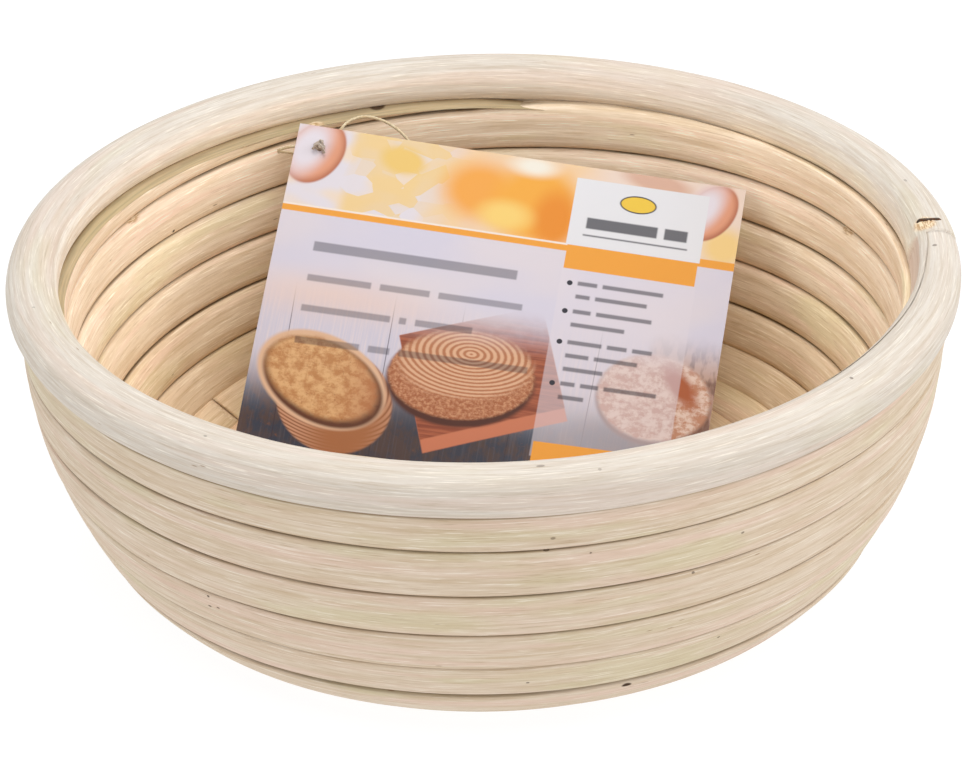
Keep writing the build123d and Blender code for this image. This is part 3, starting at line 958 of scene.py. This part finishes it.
def cane_material(name, pale, warm, deep, groove_dirt_and_shade_tone, groove_strength, pared_tones, tint, marks):
    """Rattan core: fine fibres along the cane, streaks of pink and green, pores, grooves darkened with dirt
    and painted shade, and painted light and shade on the inside.
    """
    g = Graph(name, "straight", specular=0.16)
    groove, inside, pared, torn = (g.attribute(key, "Fac") for key in ("groove", "inside", "pared", "torn"))
    fine = g.grain((85, 2700, 2700), detail=3, rough=0.7)
    medium = g.grain((32, 900, 900), (3, 1, 7), detail=3, rough=0.6)
    broad = g.grain((9, 190, 190), (11, 4, 2), detail=2)
    patches = g.grain((17, 90, 90), (5, 9, 1), detail=2)
    tone = g.fade(pale, warm, medium, 0.34, 0.68)
    tone = g.fade(tone, (226, 196, 180), broad, 0.48, 0.68, 0.0, 0.55 * tint)
    tone = g.fade(tone, (208, 198, 160), patches, 0.52, 0.68, 0.0, 0.50 * tint)
    tone = g.fade(tone, deep, fine, 0.54, 0.72, 0.0, 0.70)
    tone = g.fade(tone, (248, 240, 226), fine, 0.46, 0.30, 0.0, 0.60)
    # Painted light and shade: the inside is lightened high up, and left darker and warmer near the floor.
    _, _, height = g.split(g.node("ShaderNodeTexCoord", output="Object"))
    painted_inside_light = g.fade(INSIDE_LOW_PAINTED_SHADE, INSIDE_HIGH_PAINTED_LIGHT, height, *INSIDE_HEIGHTS)
    tone = g.mix(inside, tone, g.mix(1.0, tone, painted_inside_light, "MULTIPLY"))
    tone = g.mix(g.times(pared, 0.8), tone, g.fade(*pared_tones, medium, 0.40, 0.60))
    # The grooves darken with patchy dirt and painted shade, more on the inside, and most in the dark line
    # under the rim.
    patchy_darkening = g.grain((40, 300, 300), (1, 2, 3), detail=3)
    dirt_and_shade = g.times(g.ramp(groove, 0.15, 0.95), g.ramp(patchy_darkening, 0.30, 0.62, 0.45, 1.0))
    strength = g.math("MULTIPLY_ADD", inside, 0.30, groove_strength)
    tone = g.mix(g.math("MULTIPLY", dirt_and_shade, strength, clamp=True), tone, groove_dirt_and_shade_tone)
    tone = g.fade(tone, (112, 90, 52), groove, 1.0, 1.7, 0.0, 0.85)
    pores = g.cells((90, 520, 520), "Distance")
    chosen = g.grain((90, 520, 520), (9, 9, 9), scale=0.35, detail=0)
    pore = g.times(g.ramp(pores, 0.11, 0.05), g.ramp(chosen, 0.66, 0.72))
    tone = g.mix(g.times(pore, 0.7), tone, (150, 112, 78))
    mark = dark_marks(g, marks)
    tone = g.mix(mark, tone, (70, 48, 32))
    shreds = g.grain((420, 2400, 2400), (2, 8, 5), detail=2)
    shred_tone = g.fade((196, 156, 110), (250, 226, 190), shreds, 0.42, 0.60)
    tone = g.fade(tone, shred_tone, torn, 0.20, 0.60, 0.0, 0.85)
    relief = g.math("SUBTRACT", fine, g.times(pore, 0.8))
    relief = g.math("SUBTRACT", relief, g.times(mark, 3.0))
    relief = g.math("ADD", relief, g.times(torn, g.times(shreds, 3.0)))
    normal = g.bump(relief, 0.00013, 0.7, g.bump(medium, 0.00022, 0.5))
    return g.finish(tone, Roughness=g.ramp(medium, 0.3, 0.7, 0.62, 0.78), Normal=normal)


def wire_material():
    """Dull iron wire with brown spots of rust."""
    g = Graph("dull_wire")
    spots = g.noise(g.place, scale=900, detail=4, rough=0.6)
    tone = g.fade((78, 72, 66), (96, 62, 40), spots, 0.42, 0.6)
    metallic, rough = g.ramp(spots, 0.6, 0.42, 0.2, 0.9), g.ramp(spots, 0.3, 0.7, 0.42, 0.75)
    return g.finish(tone, Metallic=metallic, Roughness=rough, Normal=g.bump(spots, 0.00006))


def thread_material(name, dark, pale):
    """Thread: pale hairs over a darker twist."""
    g = Graph(name, "straight")
    hairs = g.grain((700, 5000, 5000), detail=4, rough=0.7)
    tone = g.fade(dark, pale, hairs, 0.35, 0.65)
    return g.finish(tone, Roughness=0.85, Sheen_Weight=0.25, Normal=g.bump(hairs, 0.0001))


# What follows draws the card's print, at millimetres from the card's top left corner.
PAPER = (0.75, 0.755, 0.765, 1)


class Print(Graph):
    """A material painted in layers, by shapes on the card."""

    def __init__(self, name):
        super().__init__(name, "print", specular=0.14)
        self.place = self.vector_math("MULTIPLY", self.place, (1000, 1000, 1000))
        self.across, self.down, _ = self.split(self.place)

    def inside(self, value, low, high, soft):
        rising = self.ramp(value, low - soft, low + soft)
        return self.times(rising, self.ramp(value, high + soft, high - soft))

    def box(self, left, top, right, bottom, soft=0.12):
        beside = self.inside(self.across, left, right, soft)
        return self.times(beside, self.inside(self.down, top, bottom, soft))

    def from_middle(self, middle_across, middle_down, half_across, half_down, turn=0.0):
        """Distance from an oval's middle, as a share of its half sizes."""
        across = self.math("SUBTRACT", self.across, middle_across)
        down = self.math("SUBTRACT", self.down, middle_down)
        cosine, sine = math.cos(turn), math.sin(turn)
        along = self.math("MULTIPLY_ADD", across, cosine, self.times(down, sine))
        over = self.math("MULTIPLY_ADD", down, cosine, self.times(across, -sine))
        along, over = self.math("DIVIDE", along, half_across), self.math("DIVIDE", over, half_down)
        return self.math("SQRT", self.math("MULTIPLY_ADD", along, along, self.times(over, over)))

    def oval(self, middle_across, middle_down, half_across, half_down, turn=0.0, soft=0.06, wobble=None):
        """1 inside an oval, 0 outside, with an edge as soft as that share of its size."""
        distance = self.from_middle(middle_across, middle_down, half_across, half_down, turn)
        if wobble is not None:
            distance = self.math("ADD", distance, wobble)
        return self.ramp(distance, 1 + soft, 1 - soft)

    def ovals(self, tone, rows):
        """A tone with ovals painted over it: each row is a paint and what oval takes."""
        for paint, *shape in rows:
            tone = self.mix(self.oval(*shape), tone, paint)
        return tone

    def boxes(self, tone, rows):
        """A tone with boxes painted over it: each row is a paint and what box takes."""
        for paint, *shape in rows:
            tone = self.mix(self.box(*shape), tone, paint)
        return tone

    def bars(self, tone, ink, strength, top, height, words):
        """A line of plain bars in place of words: each is (left, right)."""
        for left, right in words:
            bar = self.box(left, top, right, top + height, 0.3)
            tone = self.mix(self.times(bar, strength), tone, ink)
        return tone

    def finish_print(self, tone):
        """The painted tone on satin paper."""
        grain = self.noise(self.place, scale=3.0, detail=3)
        tone = self.mix(1.0, tone, PAPER, "MULTIPLY")
        rough = self.ramp(grain, 0.3, 0.7, 0.28, 0.36)
        return self.finish(tone, Roughness=rough, Normal=self.bump(grain, 0.00002, 0.4))


def food_band(p, tone):
    """Blurred warm shapes across the top of the card."""
    tint = p.grain((0.07, 0.10, 1), detail=1)
    band = p.fade((232, 224, 230), (244, 222, 200), tint, 0.40, 0.62)
    band = p.fade(band, (250, 206, 150), p.across, 34, 52, 0.0, 0.75)
    band = p.fade(band, (242, 220, 206), p.across, 78, 92, 0.0, 0.85)
    facet = p.ramp(p.cells((0.16, 0.2, 1), "Color"), 0.25, 0.65, 0.0, 0.7)
    scraps = p.times(facet, p.times(p.ramp(p.across, 14, 18), p.ramp(p.across, 52, 44)))
    band = p.mix(scraps, band, (246, 206, 122))
    band = p.ovals(band, (
        ((244, 204, 118), 31, 7, 6.5, 4.5, 0.2, 0.35),
        ((250, 172, 76), 54, 13, 10, 9, 0.0, 0.45),
        ((250, 176, 66), 70, 15, 12, 13, 0.0, 0.35),
        ((240, 146, 42), 76, 19, 6, 9, 0.0, 0.5),
        ((254, 214, 120), 62, 20, 7, 4.5, 0.0, 0.6),
        ((250, 242, 226), 68, 2.5, 6, 3, 0.0, 0.7),
        ((224, 180, 156), 103, 2, 10, 3.5, 0.2, 0.4),
        ((250, 212, 140), 124, 20, 6, 6, 0.2, 0.5),
    ))
    # Two brown eggs, each shaded from its edge to its pale shine.
    for across, down, wide, high, turn in ((6.2, 8.6, 7.6, 10.8, 0.35), (119, 9.5, 6.5, 10.0, 0.45)):
        band = p.ovals(band, (
            ((176, 98, 66), across, down, wide, high, turn, 0.05),
            ((232, 160, 124), across - 0.4, down - 0.5, wide * 0.96, high * 0.95, turn, 0.22),
            ((236, 226, 232), across - 2.2, down - 1.2, wide * 0.66, high * 0.8, turn, 0.55),
        ))
    return p.fade(tone, band, p.down, 26.2, 25.9)


def table_picture(p, tone):
    """Blue-grey boards, with a loaf in an oval basket, a ringed loaf on a board, and a floury loaf."""
    crust = p.grain((0.30, 0.34, 1), detail=5, rough=0.7)
    crumbs = p.grain((0.9, 1.1, 1), (5, 1, 0), detail=4, rough=0.7)
    edge = p.math("MULTIPLY_ADD", crust, 0.14, -0.07)
    planks = p.grain((0.16, 0.10, 1), detail=4, rough=0.7)
    grain = p.grain((1.6, 0.05, 1), (4, 4, 0), detail=3)
    wood = p.fade((62, 78, 98), (104, 84, 78), planks, 0.40, 0.60)
    wood = p.fade(wood, (160, 104, 70), crust, 0.60, 0.70, 0.0, 0.7)
    wood = p.fade(wood, (128, 124, 134), grain, 0.50, 0.70, 0.0, 0.35)
    pale = p.fade((212, 206, 220), (226, 214, 220), grain, 0.40, 0.70)
    wood = p.fade(wood, pale, p.down, 92, 68)
    for across in (7, 36, 56, 75, 96):
        lean = p.math("MULTIPLY_ADD", p.down, 0.0006 * (across - 56), p.across)
        gap = p.inside(lean, across - 0.12, across + 0.12, 0.12)
        wood = p.mix(p.times(gap, p.ramp(p.down, 30, 60, 0.25, 0.75)), wood, (70, 60, 72))
    shadow = p.math("MAXIMUM", p.oval(42, 93, 46, 13, 0.0, 0.5), p.oval(112, 84, 20, 6, 0.0, 0.6))
    wood = p.mix(p.times(shadow, 0.55), wood, (58, 40, 36))

    # The board under the ringed loaf: its pale front edge, then its top.
    board_grain = p.grain((0.06, 0.9, 1), detail=3)
    board = p.fade((140, 70, 46), (176, 98, 66), board_grain, 0.35, 0.65)
    slant = p.math("MULTIPLY_ADD", p.across, 0.40, p.down)
    lean = p.inside(p.math("MULTIPLY_ADD", p.down, -0.36, p.across), 17, 60, 0.3)
    wood = p.mix(p.times(p.inside(slant, 78, 117, 0.3), lean), wood, (206, 124, 90))
    wood = p.mix(p.times(p.inside(slant, 78, 112.6, 0.3), lean), wood, board)

    # The oval basket: its ringed side, its rim, its dark mouth and the loaf in it.
    rings = p.math("PINGPONG", p.from_middle(20.0, 76.5, 19.5, 12.5, 0.42), 0.035)
    side = p.fade((150, 96, 66), (206, 152, 118), rings, 0.004, 0.026)
    side = p.mix(p.oval(30, 92, 9, 12, 0.3, 0.6), side, (170, 108, 66))
    wood = p.ovals(wood, (
        (side, 25.0, 84.0, 16.8, 15.0, 0.62, 0.03),
        ((228, 186, 152), 20.5, 78.5, 19.5, 13.0, 0.42, 0.04),
        ((100, 58, 36), 21, 79.2, 18.3, 11.6, 0.42, 0.05),
    ))
    loaf = p.fade((194, 136, 84), (228, 180, 126), crust, 0.38, 0.62)
    loaf = p.fade(loaf, (176, 104, 68), p.across, 22, 38, 0.0, 0.55)
    loaf = p.fade(loaf, (130, 78, 46), crumbs, 0.58, 0.72, 0.0, 0.5)
    wood = p.mix(p.oval(20.5, 78, 17.0, 10.6, 0.42, 0.10, edge), wood, loaf)

    # The ringed loaf: its browner side, then the floury rings on top.
    side = p.fade((168, 100, 64), (208, 150, 110), crumbs, 0.40, 0.64)
    wood = p.ovals(wood, (
        ((84, 44, 30), 58.3, 73.5, 20.5, 14.0, -0.06, 0.05),
        (side, 58.3, 72.0, 20.2, 13.2, -0.06, 0.04, p.times(edge, 0.5)),
    ))
    flour = p.math("PINGPONG", p.from_middle(60, 65, 1.0, 1 / 1.75), 0.95)
    flour = p.ramp(p.math("MULTIPLY_ADD", crumbs, 0.5, flour), 0.40, 1.0)
    ringed = p.mix(flour, (186, 122, 84), (228, 180, 144))
    wood = p.mix(p.oval(58.8, 68.4, 18.2, 10.2, -0.06, 0.12, edge), wood, ringed)

    # The floury loaf at the right, with a cloth behind it.
    folds = p.grain((0.5, 0.16, 1), detail=2)
    cloth = p.fade((132, 96, 80), (196, 160, 142), folds, 0.40, 0.60)
    wood = p.ovals(wood, (
        (cloth, 120, 57, 12, 9, 0.5, 0.15, edge),
        (cloth, 124, 68, 7, 13, -0.2, 0.15, edge),
        ((120, 76, 56), 111.5, 71.5, 16, 14.0, 0.1, 0.05),
    ))
    floury = p.fade((196, 138, 106), (232, 202, 184), crust, 0.40, 0.60)
    floury = p.mix(p.oval(118, 66, 7, 3.0, 0.9, 0.5, edge), floury, (176, 92, 48))
    wood = p.mix(p.oval(111.5, 70.5, 15.6, 13.4, 0.1, 0.06, edge), wood, floury)
    fade = p.ramp(p.math("MULTIPLY_ADD", crust, 3.0, p.down), 50, 66)
    return p.mix(fade, tone, wood)


# Lines of bars on the front: strength, top, height, and each bar's left and right.
FRONT_BARS = (
    (0.85, 16.6, 3.6, ((85, 105), (107, 113.5))),
    (0.85, 22.2, 0.5, ((84.5, 114),)),
    (0.55, 37.0, 3.0, ((11, 68.5),)),
    (0.50, 47.4, 2.0, ((11, 29), (31.5, 45.5), (48, 71.5))),
    (0.50, 56.8, 2.0, ((11, 36), (38.5, 40.5), (43, 59))),
    (0.50, 66.6, 2.0, ((11, 29), (31.5, 37.5), (40, 76))),
    (0.70, 37.6, 1.3, ((85.5, 91), (92.5, 109.5))),
    (0.70, 41.8, 1.3, ((85.5, 89.5), (91, 105.5))),
    (0.70, 46.6, 1.3, ((85.5, 90.5), (92, 107.5))),
    (0.70, 50.8, 1.3, ((85.5, 100.5),)),
    (0.70, 56.4, 1.3, ((85.5, 95), (96.5, 102), (103.5, 109))),
    (0.70, 60.6, 1.3, ((85.5, 92), (93.5, 105.5))),
    (0.70, 64.8, 1.3, ((85.5, 96.5),)),
    (0.70, 69.4, 1.3, ((85.5, 89.5), (91, 96), (97.5, 112))),
    (0.70, 73.6, 1.3, ((85.5, 92.5),)),
)


def front_material():
    """The card's printed front: bands, a picture and plain grey bars in place of every word."""
    p = Print("card_front")
    orange, ink = (246, 166, 60), (52, 50, 60)
    veil = p.grain((0.03, 0.05, 1), detail=1)
    tone = p.fade((220, 214, 228), (228, 218, 224), veil, 0.35, 0.65)
    tone = p.mix(p.oval(20, 58, 26, 9, 0.0, 0.8), tone, (240, 210, 196))
    tone = food_band(p, table_picture(p, tone))
    tone = p.boxes(tone, (
        ((250, 236, 222), -1, 25.9, 81, 26.6),
        (orange, -1, 26.5, 81, 28.4),
        (orange, 117.5, 24.6, 129, 27.2),
    ))
    tone = p.mix(p.times(p.box(80.5, 34, 118, 93, 0.2), 0.42), tone, (232, 222, 228))
    tone = p.boxes(tone, (
        (orange, 81, 88.5, 104, 96, 0.2),
        ((236, 234, 236), 80.3, 4.0, 118, 26.2),
        (orange, 80.8, 26.2, 117.6, 33.9),
    ))
    tone = p.ovals(tone, (
        (ink, 98.5, 10.2, 5.2, 2.9, 0.0, 0.05),
        ((246, 204, 70), 98.5, 10.2, 4.8, 2.5, 0.0, 0.05),
    ))
    for line in FRONT_BARS:
        tone = p.bars(tone, ink, *line)
    tone = p.ovals(tone, [(ink, 83.3, down, 0.8, 0.8, 0.0, 0.15) for down in (38.4, 47.4, 57.2, 70.2)])
    return p.finish_print(tone)


def back_material():
    """The card's plain back, with rows of pale grey bars."""
    p = Print("card_back")
    veil = p.grain((0.04, 0.05, 1), detail=1)
    tone = p.fade((240, 238, 244), (228, 226, 236), veil, 0.35, 0.65)
    tone = p.mix(p.box(-1, 8, 129, 14), tone, (244, 160, 64))
    for row in range(6):
        words = (14, 58 - 3 * (row % 3)), (66, 112 - 5 * (row % 2))
        tone = p.bars(tone, (140, 138, 148), 0.7, 24 + 9 * row, 2.2, words)
    return p.finish_print(tone)


def edge_material():
    """The card's cut edge, white layered paper."""
    g = Graph("card_edge")
    layers = g.noise(g.place, scale=4000, detail=2)
    tone = g.mix(layers, (226, 222, 216), (248, 246, 242))
    return g.finish(tone, Roughness=0.8, Normal=g.bump(layers, 0.00003))


def floor_material():
    """A white floor that glows, so that the basket throws hardly any shadow on it."""
    g = Graph("pale_floor", specular=0.0)
    clouds = g.noise(g.place, scale=3, detail=2)
    tone = g.mix(clouds, (0.15, 0.15, 0.149, 1), (0.17, 0.17, 0.169, 1))
    return g.finish(tone, Roughness=0.9, Emission_Color=(1, 1, 1, 1), Emission_Strength=FLOOR_GLOW)


# ---------------------------------------------------------------- floor and light

FLOOR_HALF = 4.0
FLOOR_DROP = 0.00005
FLOOR_GLOW = 0.90
WORLD_STRENGTH = 0.39


def make_floor():
    corners = [(x * FLOOR_HALF, y * FLOOR_HALF, 0) for x, y in ((-1, -1), (1, -1), (1, 1), (-1, 1))]
    piece = mesh_piece("floor", corners, [[0, 1, 2, 3]])
    piece.location.z = -FLOOR_DROP
    piece.data.materials.append(floor_material())


def make_light(name, place, target, size, power, tint=(1, 1, 1)):
    data = bpy.data.lights.new(name, "AREA")
    data.shape = "DISK"
    data.size = size
    data.energy = power
    data.color = tint
    light = bpy.data.objects.new(name, data)
    bpy.context.scene.collection.objects.link(light)
    aim = (Vector(target) - Vector(place)).to_track_quat("-Z", "Y")
    light.matrix_world = Matrix.Translation(place) @ aim.to_matrix().to_4x4()


def make_lights():
    centre = (0, 0, 0.04)
    make_light("key_light", (0.45, -1.25, 1.25), centre, 1.5, 10)
    make_light("top_light", (0.0, 0.1, 1.6), centre, 1.3, 13)
    make_light("left_light", (-1.5, -0.1, 0.9), centre, 1.3, 7.5, (0.88, 0.95, 1.0))
    make_light("right_light", (1.5, 0.1, 0.9), centre, 1.3, 11, (0.95, 0.98, 1.0))
    world = bpy.data.worlds.new("studio")
    bpy.context.scene.world = world
    world.use_nodes = True
    background = world.node_tree.nodes["Background"]
    background.inputs["Color"].default_value = (1, 1, 1, 1)
    background.inputs["Strength"].default_value = WORLD_STRENGTH
    bpy.context.scene.view_settings.view_transform = "Standard"


# ---------------------------------------------------------------- the scene

# Each length of the coil's cane: its name, the mesh's step along it, its points round, and its seed.
CANES = (
    ("base_cane", 0.0022, 56, 11),
    ("lower_wall_cane", 0.0016, 72, 23),
    ("middle_wall_cane", 0.0016, 72, 37),
    ("upper_wall_cane", 0.0016, 72, 49),
)


def main():
    make_camera()
    knot = make_knot()
    thread = make_thread()
    coil_marks = []
    ends = (0, *SPLICE_TURNS, LAST_TURN)
    canes = [
        make_cane(name, first, last, *mesh, coil_marks)
        for (name, *mesh), first, last in zip(CANES, ends, ends[1:])
    ]
    # The wall's pared face is painted a dark olive: painted shade of the rim above it.
    wall = cane_material(
        "wall_rattan", pale=(221, 203, 182), warm=(207, 185, 158), deep=(184, 158, 128),
        groove_dirt_and_shade_tone=(122, 98, 66), groove_strength=0.55,
        pared_tones=((150, 132, 92), (182, 160, 120)), tint=1.0, marks=coil_marks,
    )
    for cane in canes:
        cane.data.materials.append(wall)
    rim_marks = []
    skin = make_rim(rim_marks)
    skin.data.materials.append(cane_material(
        "rim_rattan", pale=(217, 208, 197), warm=(206, 193, 178), deep=(188, 170, 148),
        groove_dirt_and_shade_tone=(132, 108, 76), groove_strength=0.40,
        pared_tones=((212, 184, 164), (226, 204, 188)), tint=0.5, marks=rim_marks,
    ))
    card = make_card()
    for material in (front_material(), back_material(), edge_material()):
        card.data.materials.append(material)
    thread.data.materials.append(thread_material("natural_thread", (196, 170, 128), (236, 222, 190)))
    knot.data.materials.append(thread_material("grey_thread", (128, 112, 100), (206, 192, 176)))
    wire = wire_material()
    make_splice_pins().data.materials.append(wire)
    for name, node in frame["nodes"].items():
        if name.endswith(("_pins", "_staple")) and name != "splice_pins":
            node.data.materials.clear()
            node.data.materials.append(wire)
    make_floor()
    make_lights()


main()
